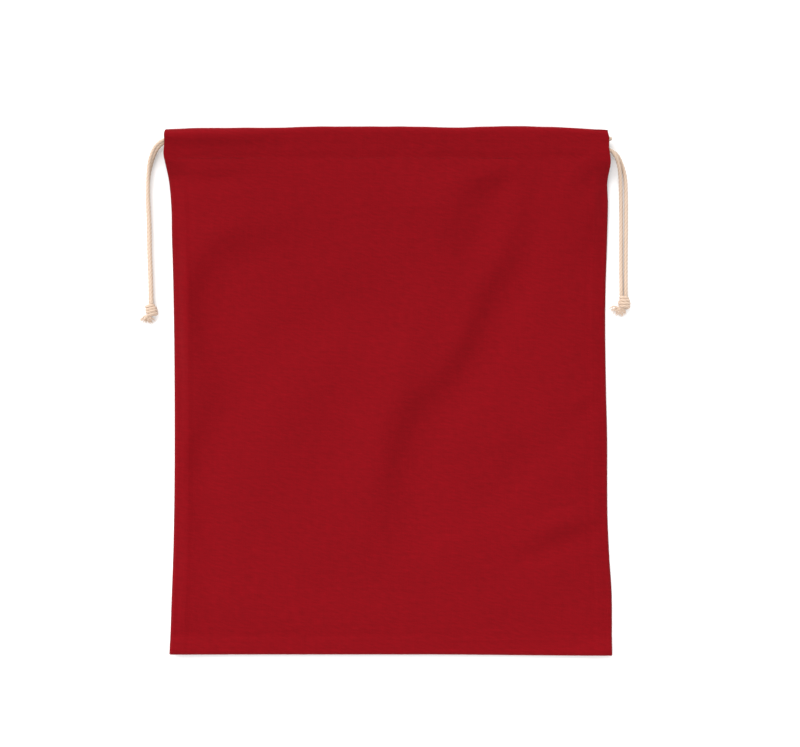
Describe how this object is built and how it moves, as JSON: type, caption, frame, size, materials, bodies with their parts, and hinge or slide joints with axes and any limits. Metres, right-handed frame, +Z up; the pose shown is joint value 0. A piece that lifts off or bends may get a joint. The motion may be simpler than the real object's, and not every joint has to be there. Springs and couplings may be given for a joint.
{
  "type": "gift sack",
  "caption": "Flat cotton gift sack with a stitched casing round its mouth and a knotted drawcord leaving it at each side; pulling the cords gathers the mouth shut.",
  "frame": {"origin": "on the table under the middle of the sack, its cords left out", "axes": "+X across the sack, +Y towards its mouth, +Z up out of its front panel"},
  "size_m": [0.2787, 0.3002, 0.0135],
  "materials": {
    "cotton": "matt plain-weave cotton, red",
    "cotton_inside": "matt plain-weave cotton, red, wrong side and turned-in edges",
    "thread": "red sewing thread, slight sheen",
    "cord": "twisted natural cotton cord, cream",
    "frayed_cord": "loose cotton fibres, cream"
  },
  "bodies": {
    "sack": {"back_panel": "cotton", "front_panel": "cotton", "bottom_seam_allowance": "cotton_inside", "bottom_seam_thread": "thread", "front_casing_thread": "thread", "back_casing_thread": "thread", "left_seam_allowance": "cotton_inside", "left_seam_thread": "thread", "right_seam_allowance": "cotton_inside", "right_seam_thread": "thread"},
    "left_mouth_corner": {"left_slit_bar_tack": "thread", "left_back_facing": "cotton_inside", "left_front_facing": "cotton_inside"},
    "right_mouth_corner": {"right_slit_bar_tack": "thread", "right_back_facing": "cotton_inside", "right_front_facing": "cotton_inside"},
    "left_drawcord": {"left_cord_loop": "cord", "left_cord_front_strand": "cord", "left_cord_back_strand": "cord", "left_cord_knot": "cord", "left_cord_frayed_ends": "frayed_cord"},
    "right_drawcord": {"right_cord_loop": "cord", "right_cord_front_strand": "cord", "right_cord_back_strand": "cord", "right_cord_knot": "cord", "right_cord_frayed_ends": "frayed_cord"}
  },
  "joints": [
    {"name": "left_drawcord_pull", "type": "slide", "parent": "sack", "child": "left_drawcord", "axis": [-1, 0, 0], "range_m": [0, 0.075]},
    {"name": "right_drawcord_pull", "type": "slide", "parent": "sack", "child": "right_drawcord", "axis": [1, 0, 0], "range_m": [0, 0.075]},
    {"name": "right_mouth_gather", "type": "slide", "parent": "sack", "child": "right_mouth_corner", "axis": [-1, 0, 0], "range_m": [0, 0.075], "deforming": ["front_panel", "back_panel"]},
    {"name": "left_mouth_gather", "type": "slide", "parent": "sack", "child": "left_mouth_corner", "axis": [1, 0, 0], "range_m": [0, 0.075], "deforming": ["front_panel", "back_panel"]}
  ],
  "couplings": [
    {"joint": "right_mouth_gather", "follows": "left_drawcord_pull", "ratio": 1},
    {"joint": "left_mouth_gather", "follows": "right_drawcord_pull", "ratio": 1}
  ]
}
